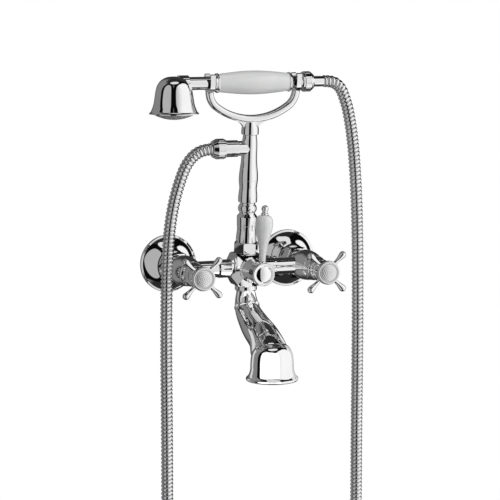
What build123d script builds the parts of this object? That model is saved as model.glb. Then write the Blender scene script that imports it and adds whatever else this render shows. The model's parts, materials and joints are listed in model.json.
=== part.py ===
from build123d import *
import math
import os

# Wall mounted bath and shower mixer with a telephone handset, in millimetres.
# X runs to the right along the wall, -Y points out into the room, Z is up.
# The origin lies on the wall, midway between the two water inlets.
# The hot side is at -X and the cold side at +X.

# --- driving dimensions ---------------------------------------------------
inlet_spacing = 150.0      # centres of the two wall inlets
reach = 65.0               # wall face to the axis of the two arms
handle_reach = 67.0        # arm axis to the plane of the cross arms
spout_reach = 155.0        # wall face to the centre of the spout mouth
column_tilt = 6.0          # the column leans forward, degrees
handset_rise = 199.8       # column seat to the handset axis, along the column
tee_rise = 123.6           # column seat to the hose outlet axis
barrel_length = 85.2       # ceramic grip between its two collars
left_fork = -50.4          # handset centre to the cradle's fork by the shower head
right_fork = 54.0          # and to its fork by the hose
barrel_shift = 1.4         # the grip sits this far towards the hose end
lever_lean = 3.0           # the diverter lever leans right at rest, degrees
stud_radius = 10.48        # G1/2 pipe thread, major radius
big_thread = 13.2          # G3/4 pipe thread, major radius
hose_thread = 10.3         # hose connection thread, major radius
hose_radius = 7.0          # outside of the metal hose
fit_gap = 0.05             # running and screwed clearance on the radius
edge_round = 0.35          # broken edges on turned parts

# --- places and axes worked out from them ---------------------------------
half_spacing = inlet_spacing / 2
sides = {"hot": -half_spacing, "cold": half_spacing}
tilt = math.radians(column_tilt)
column_direction = Vector(0, -math.sin(tilt), math.cos(tilt))
body_top = 17.5
body_bottom = -20.0
column_plane = Plane(
    origin=(0, -reach, body_top), x_dir=(1, 0, 0), z_dir=column_direction
)
column_seat = Vector(0, -reach, body_top)
handset_centre = column_seat + column_direction * handset_rise
tee_centre = column_seat + column_direction * tee_rise
handset_plane = Plane(
    origin=handset_centre, x_dir=column_direction, z_dir=(1, 0, 0)
)
tee_plane = Plane(origin=tee_centre, x_dir=column_direction, z_dir=(-1, 0, 0))


def forward_plane(x, y=-reach):
    """A plane whose local height runs out into the room."""
    return Plane(origin=(x, y, 0), x_dir=(1, 0, 0), z_dir=(0, -1, 0))


def upright_plane(out):
    """A plane on the middle of the mixer, this far from the wall, whose height is Z."""
    return Plane(origin=(0, -out, 0), x_dir=(1, 0, 0), z_dir=(0, 0, 1))


def sideways_plane(x=0.0, out=reach, side=1.0):
    """A plane whose local height runs along X, to the right or to the left."""
    return Plane(origin=(x, -out, 0), x_dir=(0, 0, 1), z_dir=(side, 0, 0))


def turned(points, place, rounding=edge_round):
    """A lathe-turned solid. Points are (radius, height) along the local axis.

    A profile that starts on the axis is closed along it; any other is a ring.
    """
    on_axis = points[0][0] == 0
    outline = FilletPolyline(*points, radius=rounding, close=not on_axis)
    if on_axis:
        outline = outline + Line(points[-1], points[0])
    return place * revolve(Plane.XZ * make_face(outline), axis=Axis.Z)


def turned_curve(curves, place):
    """A turned solid whose closed (radius, height) outline has curves in it."""
    outline = Curve() + list(curves)
    return place * revolve(Plane.XZ * make_face(outline), axis=Axis.Z)


def dome(edge_radius, edge_height, top_height):
    """Arc of a sphere centred on the axis, from its edge to its top on the axis."""
    rise = top_height - edge_height
    sphere = (edge_radius ** 2 + rise ** 2) / (2 * abs(rise))
    angle = math.atan2(edge_radius, sphere - abs(rise)) / 2
    drop = math.copysign(sphere * (1 - math.cos(angle)), rise)
    middle = (sphere * math.sin(angle), top_height - drop)
    return ThreePointArc((edge_radius, edge_height), middle, (0, top_height))


def rod(radius, start, end, place):
    """A plain cylinder between two heights on the local axis."""
    height = end - start
    centred = Location((0, 0, start + height / 2))
    return place * centred * Cylinder(radius, height)


def ring(outer, inner, start, end, place, rounding=edge_round):
    """A plain ring with broken edges."""
    corners = [(inner, start), (outer, start), (outer, end), (inner, end)]
    return turned(corners, place, rounding)


def hexagon(across_flats, start, end, place):
    """A hexagon bar with its corners turned down at both ends."""
    bar = RegularPolygon(across_flats / 2, 6, major_radius=False)
    prism = Location((0, 0, start)) * extrude(bar, end - start)
    corner = across_flats / 2 / math.cos(math.pi / 6)
    cap = corner - across_flats / 2
    lathe = turned(
        [(0, start), (corner - cap, start), (corner, start + cap * 0.6),
         (corner, end - cap * 0.6), (corner - cap, end), (0, end)],
        Plane.XY, 0.05)
    return place * (prism & lathe)


def hole_pattern(pitch, radius, height):
    """Pins for a hole on the axis and three rings of 6, 12 and 18 round it."""
    pins = [Location((0, 0, height)) * Cylinder(radius, 12)]
    for lap in (1, 2, 3):
        for step in range(6 * lap):
            turn = Rotation(0, 0, 60 * step / lap)
            pins.append(turn * Location((pitch * lap, 0, height)) * Cylinder(radius, 12))
    return Compound(pins)


def save(shape, node):
    export_step(shape, f"parts/{node}.step")


# --- wall connections -----------------------------------------------------
nipple_end = 34.0          # end of the wall nipple, out from the wall
washer_thickness = 1.6
tail_collar = 2.5          # thickness of the collar the union nut pulls on
flange_radius = 34.2
flange_depth = 21.5
flange_sheet = 1.3


def inlet_nipple(x):
    """Screws into the wall fitting and carries the union nut."""
    profile = [
        (6.5, -20), (stud_radius, -20), (stud_radius, 3), (big_thread, 3),
        (big_thread, nipple_end), (6.5, nipple_end)]
    return turned(profile, forward_plane(x, 0), 0.6)


def wall_flange(x):
    """A spun cover for the wall opening: flat rim, shallow cone and short neck."""
    neck, rim = 17.0, 2.6
    foot = flange_radius - 2.0
    sheet = flange_sheet
    outside = Spline(
        (flange_radius - 2.6, rim + 0.3), (27.3, 8.3), (22.0, 13.6), (neck, flange_depth - 2.5),
        tangents=[(-0.75, 1), (-0.55, 1)])
    inside = Spline(
        (flange_radius - 3.6, rim - 0.6), (26.4, 7.2), (21.1, 12.6),
        (neck - sheet, flange_depth - 2.9), tangents=[(-0.75, 1), (-0.55, 1)])
    curves = [
        Line((foot, 0), (flange_radius, 0)),
        Line((flange_radius, 0), (flange_radius, rim - 0.7)),
        ThreePointArc((flange_radius, rim - 0.7), (flange_radius - 0.25, rim - 0.2),
                      (flange_radius - 0.8, rim)),
        Line((flange_radius - 0.8, rim), (flange_radius - 2.6, rim + 0.3)),
        outside,
        Line((neck, flange_depth - 2.5), (neck, flange_depth)),
        Line((neck, flange_depth), (neck - sheet, flange_depth)),
        Line((neck - sheet, flange_depth), (neck - sheet, flange_depth - 2.9)),
        inside,
        Line((flange_radius - 3.6, rim - 0.6), (foot, 0.8)),
        Line((foot, 0.8), (foot, 0)),
    ]
    return turned_curve(curves, forward_plane(x, 0))


tail_start = nipple_end + washer_thickness
nut_front = tail_start + tail_collar + 4.0


def union_nut(x):
    """Hexagon nut that pulls the mixer's tail onto the nipple."""
    nut = hexagon(32.0, flange_depth + 0.5, nut_front, forward_plane(x, 0))
    nut -= rod(big_thread + fit_gap, 0, tail_start + tail_collar + 0.1, forward_plane(x, 0))
    return nut - rod(10.4, 0, nut_front + 1, forward_plane(x, 0))


def union_washer(x):
    return ring(12.8, 8.0, nipple_end, tail_start, forward_plane(x, 0), 0.2)


# --- mixer body -----------------------------------------------------------
block_half = 20.5          # centre of the body to its side faces
arm_radius = 9.8
arm_collar = 10.6
chamber_radius = 11.0      # valve chamber in each end barrel
chamber_floor = -7.0       # seat of the valve chamber, from the arm axis
barrel_front = 27.0        # front face of each valve barrel, from the arm axis
diverter_chamber = 12.0
inlet_bore = 6.0
outlet_bore = 6.2          # ways up to the column and down to the spout
union_thread = 9.5         # threads that carry the column nut and the spout
thread_length = 9.0
bottom_thread_end = body_bottom - 10.0
seal_thickness = 1.2


def faceted_block():
    """The body's centre: a block bevelled on every side, with a raised belt."""
    half = block_half
    shoulder = 9.5
    side_view = Polygon(
        (half, -shoulder), (half, shoulder), (13.8, body_top), (-13.8, body_top),
        (-half, shoulder), (-half, -shoulder), (-13.5, body_bottom), (13.5, body_bottom),
        align=None)
    plan = Polygon(
        (half, -shoulder), (half, shoulder), (shoulder, half), (-shoulder, half),
        (-half, shoulder), (-half, -shoulder), (-shoulder, -half), (shoulder, -half),
        align=None)
    centre = Location((0, -reach, 0))
    front = centre * extrude(Plane.XZ * side_view, half + 5, both=True)
    side = centre * extrude(Plane.YZ * side_view, half + 5, both=True)
    upright = centre * extrude(plan, half + 5, both=True)
    block = front & side & upright
    belt = centre * extrude(scale(plan, by=(half + 0.7) / half), 1.3, both=True)
    return block + belt


def valve_barrel(x):
    """Rounded barrel at the end of an arm, with the inlet tail behind it."""
    tail = tail_start - reach
    curves = [
        Line((0, tail), (12.8, tail)),
        Line((12.8, tail), (12.8, tail + tail_collar)),
        Line((12.8, tail + tail_collar), (10.2, tail + tail_collar)),
        Line((10.2, tail + tail_collar), (10.2, -17.0)),
        Spline((10.2, -17.0), (15.2, -12.0), (17.6, -2.0), (17.0, 10.0),
               (14.4, barrel_front - 1), tangents=[(1, 0.1), (-0.15, 1)]),
        Line((14.4, barrel_front - 1), (13.8, barrel_front)),
        Line((13.8, barrel_front), (0, barrel_front)),
        Line((0, barrel_front), (0, tail)),
    ]
    return turned_curve(curves, forward_plane(x))


def arm(x):
    """Horizontal arm from the block to a valve barrel, with a collar at its root."""
    place = sideways_plane(side=math.copysign(1.0, x))
    profile = [
        (0, 0), (arm_collar, 0), (arm_collar, 33.5), (arm_radius, 35.5),
        (arm_radius, half_spacing), (0, half_spacing)]
    return turned(profile, place, 0.5)


def mixer_body():
    """One brass casting: block, arms, valve barrels and the two threaded ends."""
    upright = upright_plane(reach)
    water_way = half_spacing - 9
    body = faceted_block()
    for x in sides.values():
        body += arm(x)
        body += valve_barrel(x)
    body -= rod(30.0, 0, 12, column_plane)
    body += rod(13.0, -8, 0, column_plane)
    body += rod(union_thread, -9, thread_length, column_plane)
    body += rod(union_thread, bottom_thread_end, body_bottom + 1, upright)
    for x in sides.values():
        front = forward_plane(x)
        body -= rod(chamber_radius, chamber_floor, barrel_front + 1, front)
        body -= rod(chamber_radius + 0.3, barrel_front - 0.4, barrel_front + 1, front)
        body -= rod(inlet_bore, tail_start - reach - 1, chamber_floor + 1, front)
    body -= rod(5.5, -water_way, water_way, sideways_plane())
    body -= rod(diverter_chamber, -12, block_half + 2, forward_plane(0))
    body -= rod(outlet_bore, -18, thread_length + 1, column_plane)
    body -= rod(outlet_bore, bottom_thread_end - 1, 0, upright)
    return body


# --- valves ---------------------------------------------------------------
spindle_radius = 4.0
disc_radius = 7.4
seal_top = chamber_floor + 2.0
fixed_disc_top = seal_top + 3.0
turning_disc_top = fixed_disc_top + 3.0
headwork_front = 44.0
hub_back = 51.0
spindle_end = 60.0


def seat_seal(x):
    return ring(8.8, 5.2, chamber_floor, seal_top, forward_plane(x), 0.3)


def headwork(x):
    """Brass cartridge body: cage for the discs, thread, flange and spindle bearing."""
    place = forward_plane(x)
    profile = [
        (disc_radius + 0.3, seal_top), (8.8, seal_top), (8.8, 7.5),
        (chamber_radius - fit_gap, 7.5), (chamber_radius - fit_gap, barrel_front),
        (12.4, barrel_front), (12.4, barrel_front + 3), (7.6, barrel_front + 3),
        (7.6, headwork_front), (spindle_radius + fit_gap, headwork_front),
        (spindle_radius + fit_gap, turning_disc_top + 2.2),
        (disc_radius + 0.3, turning_disc_top + 2.2)]
    cage = turned(profile, place, 0.15)
    window = Location((0, -3.5, 0)) * Box(7, 3.2, 24)
    return cage - sideways_plane(x) * window


def ceramic_disc(x, start, end):
    """Ceramic disc with the two sector ports that open and close the flow."""
    place = forward_plane(x)
    disc = ring(disc_radius, 1.0, start, end, place, 0.2)
    for side in (-1, 1):
        port = Location((0, side * 4.2, (start + end) / 2)) * Box(5.0, 2.6, end - start + 1)
        disc -= place * port
    return disc


def spindle(x):
    """Turned spindle with a foot that drives the disc and a tapped end."""
    profile = [
        (0, turning_disc_top), (disc_radius - 0.4, turning_disc_top),
        (disc_radius - 0.4, turning_disc_top + 2), (spindle_radius, turning_disc_top + 2),
        (spindle_radius, spindle_end), (2.03, spindle_end), (2.03, spindle_end - 12),
        (0, spindle_end - 12)]
    return turned(profile, forward_plane(x), 0.15)


def valve_shroud(x):
    """Chromed sleeve over the headwork, between the barrel and the handle."""
    curves = [
        Line((12.7, barrel_front), (14.3, barrel_front)),
        Spline((14.3, barrel_front), (14.6, barrel_front + 2.0), (13.2, barrel_front + 4.0),
               tangents=[(0.6, 1), (-0.5, 1)]),
        Spline((13.2, barrel_front + 4.0), (12.2, 38.0), (12.8, 46.0), (11.6, hub_back - 1),
               tangents=[(-0.2, 1), (-0.6, 1)]),
        Line((11.6, hub_back - 1), (8.4, hub_back - 1)),
        Line((8.4, hub_back - 1), (8.4, barrel_front + 5)),
        Line((8.4, barrel_front + 5), (12.7, barrel_front + 3.4)),
        Line((12.7, barrel_front + 3.4), (12.7, barrel_front)),
    ]
    return turned_curve(curves, forward_plane(x))


# --- cross handles --------------------------------------------------------
cross_radius = 31.5        # handle axis to the tip of an arm
hub_front = 70.5
button_radius = 13.8
arm_root = 10.6            # handle axis to the buried end of an arm


def cross_arm(x, angle):
    """One club shaped arm: a slim neck that swells to a rounded tip."""
    direction = Vector(math.cos(angle), 0, math.sin(angle))
    place = Plane(
        origin=(x, -reach - handle_reach, 0), x_dir=(0, -1, 0), z_dir=direction)
    tip = cross_radius
    curves = [
        Line((0, arm_root), (3.2, arm_root)),
        Spline((3.2, arm_root), (2.3, 15.0), (2.9, 21.5), (4.0, tip - 4.0),
               tangents=[(-0.4, 1), (0.1, 1)]),
        dome(4.0, tip - 4.0, tip),
        Line((0, tip), (0, arm_root)),
    ]
    return turned_curve(curves, place)


def cross_handle(x):
    """Hub with four arms at 45 degrees."""
    place = forward_plane(x)
    curves = [
        Line((spindle_radius + 0.02, hub_back), (10.4, hub_back)),
        Spline((10.4, hub_back), (11.6, 54.5), (10.2, 58.5), (12.2, 62.5),
               tangents=[(0.8, 0.6), (0.3, 1)]),
        Line((12.2, 62.5), (12.2, hub_front)),
        Line((12.2, hub_front), (9.3, hub_front)),
        Line((9.3, hub_front), (9.3, spindle_end + 6)),
        Line((9.3, spindle_end + 6), (4.6, spindle_end + 6)),
        Line((4.6, spindle_end + 6), (4.6, spindle_end + 2)),
        Line((4.6, spindle_end + 2), (2.2, spindle_end + 2)),
        Line((2.2, spindle_end + 2), (2.2, spindle_end)),
        Line((2.2, spindle_end), (spindle_radius + 0.02, spindle_end)),
        Line((spindle_radius + 0.02, spindle_end), (spindle_radius + 0.02, hub_back)),
    ]
    hub = turned_curve(curves, place)
    for quarter in range(4):
        hub += cross_arm(x, math.radians(45 + 90 * quarter))
    return hub


def handle_screw(x):
    """Screw that holds the cross handle on its spindle, with a hexagon socket."""
    profile = [
        (0, spindle_end - 10), (2.0, spindle_end - 10), (2.0, spindle_end + 2),
        (4.2, spindle_end + 2), (4.2, spindle_end + 5.4), (0, spindle_end + 5.4)]
    place = forward_plane(x)
    socket = extrude(RegularPolygon(1.5, 6, major_radius=False), 4)
    return turned(profile, place, 0.2) - place * Location((0, 0, spindle_end + 3)) * socket


def index_cap(x):
    """Domed cap over the screw, with two turned rings on its face."""
    rise = 4.6
    start = hub_front
    curves = [
        Line((0, start - 3.5), (9.2, start - 3.5)),
        Line((9.2, start - 3.5), (9.2, start)),
        Line((9.2, start), (button_radius, start)),
        Line((button_radius, start), (button_radius, start + 1.6)),
        ThreePointArc((button_radius, start + 1.6), (button_radius - 0.6, start + 2.7),
                      (button_radius - 1.7, start + 3.1)),
        Line((button_radius - 1.7, start + 3.1), (11.0, start + 3.1)),
        Line((11.0, start + 3.1), (10.6, start + 2.5)),
        Line((10.6, start + 2.5), (10.0, start + 2.6)),
        Line((10.0, start + 2.6), (9.6, start + 3.2)),
        dome(9.6, start + 3.2, start + rise),
        Line((0, start + rise), (0, start - 3.5)),
    ]
    return turned_curve(curves, forward_plane(x))


# --- diverter -------------------------------------------------------------
rotor_front = 7.5
diverter_shaft = 5.0
diverter_hub_back = 46.0
diverter_hub_front = 60.0
diverter_hub_radius = 13.0
lever_plane_reach = 55.0   # arm axis to the plane of the lever
lean = math.radians(lever_lean)
lever_place = Plane(
    origin=(0, -(reach + lever_plane_reach), 0),
    x_dir=(math.cos(lean), 0, -math.sin(lean)),
    z_dir=(math.sin(lean), 0, math.cos(lean)),
)


def diverter_bonnet():
    """Screwed into the body's front; carries the shaft of the diverter."""
    place = forward_plane(0)
    curves = [
        Line((diverter_shaft + fit_gap, 9.0), (diverter_chamber - fit_gap, 9.0)),
        Line((diverter_chamber - fit_gap, 9.0), (diverter_chamber - fit_gap, block_half)),
        Line((diverter_chamber - fit_gap, block_half), (14.2, block_half)),
        Line((14.2, block_half), (14.8, block_half + 0.8)),
        Line((14.8, block_half + 0.8), (14.8, block_half + 3.0)),
        Line((14.8, block_half + 3.0), (13.4, block_half + 4.4)),
        Spline((13.4, block_half + 4.4), (11.6, 33.0), (9.8, diverter_hub_back - 1),
               tangents=[(-0.4, 1), (-0.02, 1)]),
        Line((9.8, diverter_hub_back - 1), (diverter_shaft + fit_gap, diverter_hub_back - 1)),
        Line((diverter_shaft + fit_gap, diverter_hub_back - 1), (diverter_shaft + fit_gap, 9.0)),
    ]
    return turned_curve(curves, place)


def diverter_rotor():
    """Rotor with a cross port and two O-ring grooves, on its shaft."""
    place = forward_plane(0)
    radius = diverter_chamber - 0.4
    groove = radius - 1.4
    profile = [
        (0, -11), (radius, -11), (radius, -9), (groove, -9), (groove, -7.2),
        (radius, -7.2), (radius, 3.8), (groove, 3.8), (groove, 5.6), (radius, 5.6),
        (radius, rotor_front), (diverter_shaft, rotor_front),
        (diverter_shaft, diverter_hub_front - 2), (2.05, diverter_hub_front - 2),
        (2.05, diverter_hub_front - 13), (0, diverter_hub_front - 13)]
    rotor = turned(profile, place, 0.12)
    return rotor - rod(4.2, -14, 14, upright_plane(reach - 1.7))


def diverter_seals():
    """Two O-rings in the rotor's grooves."""
    place = forward_plane(0)
    inner, outer = diverter_chamber - 1.8, diverter_chamber - 0.08
    rings = [
        ring(outer, inner, -9.0, -7.2, place, 0.6),
        ring(outer, inner, 3.8, 5.6, place, 0.6),
    ]
    return Compound(rings)


def diverter_hub():
    """Drum on the shaft that holds the lever rod."""
    place = forward_plane(0)
    profile = [
        (diverter_shaft + 0.02, diverter_hub_back), (11.2, diverter_hub_back),
        (diverter_hub_radius, diverter_hub_back + 2.0),
        (diverter_hub_radius, diverter_hub_front), (2.3, diverter_hub_front),
        (2.3, diverter_hub_front - 1.7), (diverter_shaft + 0.02, diverter_hub_front - 1.7)]
    drum = turned(profile, place, 0.2)
    boss_top = diverter_hub_radius + 1.6
    boss = turned(
        [(0, 7.0), (4.4, 7.0), (4.4, boss_top), (0, boss_top)], lever_place, 0.3)
    return drum + boss - rod(2.52, 7.0, boss_top + 1, lever_place)


def diverter_cap():
    """Screw cap with a rounded rim and a domed middle; its stud holds the drum."""
    face = diverter_hub_front
    rim = diverter_hub_radius + 0.4
    curves = [
        Line((0, face - 12), (2.0, face - 12)),
        Line((2.0, face - 12), (2.0, face)),
        Line((2.0, face), (12.6, face)),
        Line((12.6, face), (rim, face + 0.6)),
        Line((rim, face + 0.6), (rim, face + 1.6)),
        ThreePointArc((rim, face + 1.6), (rim - 0.45, face + 2.65), (rim - 1.5, face + 3.1)),
        Line((rim - 1.5, face + 3.1), (9.6, face + 2.7)),
        Line((9.6, face + 2.7), (8.9, face + 2.2)),
        dome(8.9, face + 2.2, face + 4.2),
        Line((0, face + 4.2), (0, face - 12)),
    ]
    return turned_curve(curves, forward_plane(0))


lever_bottom = diverter_hub_radius + 1.8
lever_top = 67.0


def lever_rod():
    """Steel rod through the porcelain, threaded into drum and finial."""
    profile = [(0, 7.2), (2.5, 7.2), (2.5, lever_top + 6), (0, lever_top + 6)]
    return turned(profile, lever_place, 0.3)


def lever_handle():
    """White porcelain grip, slim at the bottom and full at the top."""
    bore = 2.7
    curves = [
        Line((bore, lever_bottom), (3.7, lever_bottom)),
        Spline((3.7, lever_bottom), (4.5, 26.0), (6.4, 37.0), (8.9, 48.0), (10.1, 57.0),
               (8.9, 63.8), (5.6, lever_top), tangents=[(0.0, 1), (-1, 0.25)]),
        Line((5.6, lever_top), (bore, lever_top)),
        Line((bore, lever_top), (bore, lever_bottom)),
    ]
    return turned_curve(curves, lever_place)


def lever_finial():
    """Small collar and ball that screw down on the rod."""
    start = lever_top
    ball, neck = 4.1, 3.0
    ball_centre = start + 7.6
    ball_cut = math.sqrt(ball ** 2 - neck ** 2)
    curves = [
        Line((2.52, start), (3.2, start)),
        ThreePointArc((3.2, start), (4.3, start + 1.5), (3.2, start + 3.0)),
        Line((3.2, start + 3.0), (neck, start + 3.6)),
        Line((neck, start + 3.6), (neck, ball_centre - ball_cut)),
        ThreePointArc((neck, ball_centre - ball_cut), (ball, ball_centre), (0, ball_centre + ball)),
        Line((0, ball_centre + ball), (0, start + 6.2)),
        Line((0, start + 6.2), (2.52, start + 6.2)),
        Line((2.52, start + 6.2), (2.52, start)),
    ]
    return turned_curve(curves, lever_place)


# --- column ---------------------------------------------------------------
nut_height = 13.3
column_bore = 5.5
spigot = 6.9
bead_start = 47.8
middle_start = 58.0
upper_start = 87.0
socket_start = 139.8
column_top = 150.0


def body_seals():
    """The flat seals at the ends of the body's two threads."""
    top_end = thread_length + seal_thickness
    bottom_end = bottom_thread_end - seal_thickness
    return Compound([
        ring(9.3, 6.3, thread_length, top_end, column_plane, 0.2),
        ring(9.3, 6.3, bottom_end, bottom_thread_end, upright_plane(reach), 0.2),
    ])


def column_nut():
    """Hexagon nut that clamps the column on the body."""
    nut = hexagon(25.4, 0, nut_height, column_plane)
    nut -= rod(union_thread + fit_gap, -1, 12.1, column_plane)
    return nut - rod(8.3, 0, nut_height + 1, column_plane)


def column_lower():
    """Lowest turned piece; its collar sits inside the nut."""
    curves = [
        Line((column_bore, 10.2), (9.3, 10.2)),
        Line((9.3, 10.2), (9.3, 12.0)),
        Line((9.3, 12.0), (8.2, 12.0)),
        Line((8.2, 12.0), (8.2, nut_height + 0.1)),
        Line((8.2, nut_height + 0.1), (11.6, nut_height + 0.1)),
        Line((11.6, nut_height + 0.1), (12.1, nut_height + 0.7)),
        Spline((12.1, nut_height + 0.7), (11.7, 22.0), (11.2, 27.5), (11.5, 33.0),
               tangents=[(0, 1), (0.1, 1)]),
        Line((11.5, 33.0), (11.1, 33.4)),
        Line((11.1, 33.4), (11.5, 33.8)),
        Spline((11.5, 33.8), (11.7, 39.0), (11.8, 43.6), tangents=[(0.1, 1), (0, 1)]),
        Line((11.8, 43.6), (11.2, 44.3)),
        Line((11.2, 44.3), (8.9, bead_start - 0.6)),
        Line((8.9, bead_start - 0.6), (8.9, bead_start)),
        Line((8.9, bead_start), (spigot + fit_gap, bead_start)),
        Line((spigot + fit_gap, bead_start), (spigot + fit_gap, bead_start - 5)),
        Line((spigot + fit_gap, bead_start - 5), (column_bore, bead_start - 5)),
        Line((column_bore, bead_start - 5), (column_bore, 10.2)),
    ]
    return turned_curve(curves, column_plane)


def column_middle():
    """Bead and flared piece, screwed into the lower piece."""
    middle_bead = (bead_start + middle_start) / 2
    curves = [
        Line((column_bore, bead_start - 4.8), (spigot, bead_start - 4.8)),
        Line((spigot, bead_start - 4.8), (spigot, bead_start)),
        Line((spigot, bead_start), (8.7, bead_start)),
        ThreePointArc((8.7, bead_start), (10.9, middle_bead), (8.7, middle_start)),
        Line((8.7, middle_start), (8.7, middle_start + 1.6)),
        Line((8.7, middle_start + 1.6), (10.7, middle_start + 2.6)),
        Line((10.7, middle_start + 2.6), (11.0, middle_start + 3.2)),
        Spline((11.0, middle_start + 3.2), (10.9, 69.5), (10.2, 77.0), (10.8, 83.0),
               (11.1, upper_start - 0.2), tangents=[(0.05, 1), (0.1, 1)]),
        Line((11.1, upper_start - 0.2), (10.9, upper_start)),
        Line((10.9, upper_start), (spigot + fit_gap, upper_start)),
        Line((spigot + fit_gap, upper_start), (spigot + fit_gap, upper_start - 5)),
        Line((spigot + fit_gap, upper_start - 5), (column_bore, upper_start - 5)),
        Line((column_bore, upper_start - 5), (column_bore, bead_start - 4.8)),
    ]
    return turned_curve(curves, column_plane)


tee_boss_end = 15.0


def column_tee():
    """Top piece with the side outlet for the hose and a pin for the cradle."""
    curves = [
        Line((0, upper_start - 4.8), (spigot, upper_start - 4.8)),
        Line((spigot, upper_start - 4.8), (spigot, upper_start)),
        Line((spigot, upper_start), (10.9, upper_start)),
        Line((10.9, upper_start), (11.1, upper_start + 0.2)),
        Spline((11.1, upper_start + 0.2), (10.9, 93.0), (9.7, 104.0), (9.1, 114.0),
               (9.0, 126.0), (8.6, 133.0), (8.0, socket_start - 0.3),
               tangents=[(0, 1), (0, 1)]),
        Line((8.0, socket_start - 0.3), (7.6, socket_start)),
        Line((7.6, socket_start), (7.0, socket_start)),
        Line((7.0, socket_start), (7.0, column_top)),
        Line((7.0, column_top), (0, column_top)),
        Line((0, column_top), (0, upper_start - 4.8)),
    ]
    piece = turned_curve(curves, column_plane)
    boss = [(0, 0), (8.6, 0), (8.6, tee_boss_end), (0, tee_boss_end)]
    piece += turned(boss, tee_plane, 0.25)
    piece -= rod(column_bore, upper_start - 6, tee_rise + 5, column_plane)
    return piece - rod(5.2, 0, tee_boss_end + 1, tee_plane)


outlet_shoulder = 31.0
outlet_end = 40.4
lower_nut_end = 45.4
hose_start = 43.4


def hose_outlet():
    """Adapter with the male thread that takes the hose nut."""
    profile = [
        (5.2, tee_boss_end), (9.6, tee_boss_end), (9.6, outlet_shoulder - 1),
        (11.0, outlet_shoulder - 1), (11.0, outlet_shoulder + 0.6),
        (8.8, outlet_shoulder + 0.6), (8.8, outlet_shoulder + 1.8),
        (hose_thread, outlet_shoulder + 1.8), (hose_thread, outlet_end),
        (6.6, outlet_end), (6.6, 22.0), (5.2, 22.0)]
    return turned(profile, tee_plane, 0.2)


def check_valve():
    """Plastic non-return valve pushed into the outlet adapter."""
    body = ring(6.5, 4.6, 22.2, 33.0, tee_plane, 0.3)
    spider = Location((0, 0, 30.0)) * Box(1.4, 10.0, 3.0)
    cross = Location((0, 0, 30.0)) * Box(10.0, 1.4, 3.0)
    return body + tee_plane * spider + tee_plane * cross + rod(2.2, 26.0, 32.0, tee_plane)


def hose_washer(start, place):
    return ring(9.6, 5.6, start, start + 1.2, place, 0.2)


def hose_nut(start, length, bore_end, exit_radius, place):
    """Conical hose nut with grip flutes round its wide end."""
    end = start + length
    wide = 11.8
    profile = [
        (hose_thread + fit_gap, start), (wide, start), (wide, start + length * 0.62),
        (exit_radius + 2.0, end), (exit_radius, end), (exit_radius, bore_end),
        (hose_thread + fit_gap, bore_end)]
    nut = turned(profile, place, 0.3)
    for step in range(12):
        turn = Rotation(0, 0, 30 * step)
        groove = Location((wide + 0.55, 0, start + length * 0.3)) * Cylinder(1.0, length * 0.46)
        nut -= place * (turn * groove)
    return nut


def hose_ferrule_lower():
    """Flanged insert that ends the hose inside its nut."""
    return ring(9.6, 4.6, outlet_end + 1.2, hose_start, tee_plane, 0.3)


# --- cradle ---------------------------------------------------------------
fork_centre = handset_rise
arch_depth = 32.0          # ends of the arch down to the middle of its lowest part
arch_end_radius = 22.0
arch_drop = 10.0           # handset axis down to the ends of the arch
arch_middle = (left_fork + right_fork) / 2
strap_thickness = 8.6
strap_depth = 9.4
fork_width = 5.6
left_fork_bore = 7.9
right_fork_bore = 6.9
prong = 4.6
front_prong_rise = 9.2     # straight part of the prongs above the handset axis
back_prong_rise = 7.2
cradle_screw_plane = Plane(
    origin=column_seat + column_direction * 145.0, x_dir=(1, 0, 0), z_dir=column_plane.y_dir)

# The arch is three tangent arcs: two ends of arch_end_radius and a flatter middle.
arch_run = (right_fork - left_fork) / 2 - arch_end_radius
arch_rest = arch_depth - arch_end_radius
arch_lift = (arch_run ** 2 - arch_rest ** 2) / (2 * arch_rest)
arch_radius = arch_lift + arch_depth
arch_level = fork_centre - arch_drop
arch_bottom = arch_level - arch_depth
cradle_view = Plane(
    origin=column_seat + Vector(arch_middle, 0, 0), x_dir=(1, 0, 0),
    z_dir=column_plane.y_dir * -1)


def arch_height(across, out=0.0):
    """Height of the arch's middle part, this far to the side and outside its centre line."""
    return arch_level + arch_lift - math.sqrt((arch_radius + out) ** 2 - across ** 2)


def cradle_arch():
    """The bow of the cradle: the three arcs swept with a rounded section."""
    turn = math.degrees(math.atan2(arch_run, arch_lift))
    left = CenterArc((-arch_run, arch_level), arch_end_radius, 180, 90 - turn)
    bottom = CenterArc((0, arch_level + arch_lift), arch_radius, 270 - turn, 2 * turn)
    right = CenterArc((arch_run, arch_level), arch_end_radius, 270 + turn, 90 - turn)
    path = cradle_view * (left + bottom + right)
    section_plane = Plane(origin=path @ 0, x_dir=(1, 0, 0), z_dir=path % 0)
    section = section_plane * RectangleRounded(strap_thickness, strap_depth, 3.4)
    return sweep(section, path=path)


def fork(x, bore):
    """U shaped yoke, open at the top, that a neck of the handset drops into."""
    outer = bore + prong
    middle = (outer + bore) / 2
    front, back = front_prong_rise, back_prong_rise
    yoke = make_face(Curve() + [
        Line((-outer, front), (-outer, 0)),
        ThreePointArc((-outer, 0), (0, -outer), (outer, 0)),
        Line((outer, 0), (outer, back)),
        ThreePointArc((outer, back), (middle, back + prong / 2), (bore, back)),
        Line((bore, back), (bore, 0)),
        ThreePointArc((bore, 0), (0, -bore), (-bore, 0)),
        Line((-bore, 0), (-bore, front)),
        ThreePointArc((-bore, front), (-middle, front + prong / 2), (-outer, front)),
    ])
    centre = column_seat + column_direction * fork_centre
    place = Plane(
        origin=(x, centre.Y, centre.Z), x_dir=column_plane.y_dir, z_dir=(1, 0, 0))
    return place * extrude(yoke, fork_width / 2, both=True)


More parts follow.
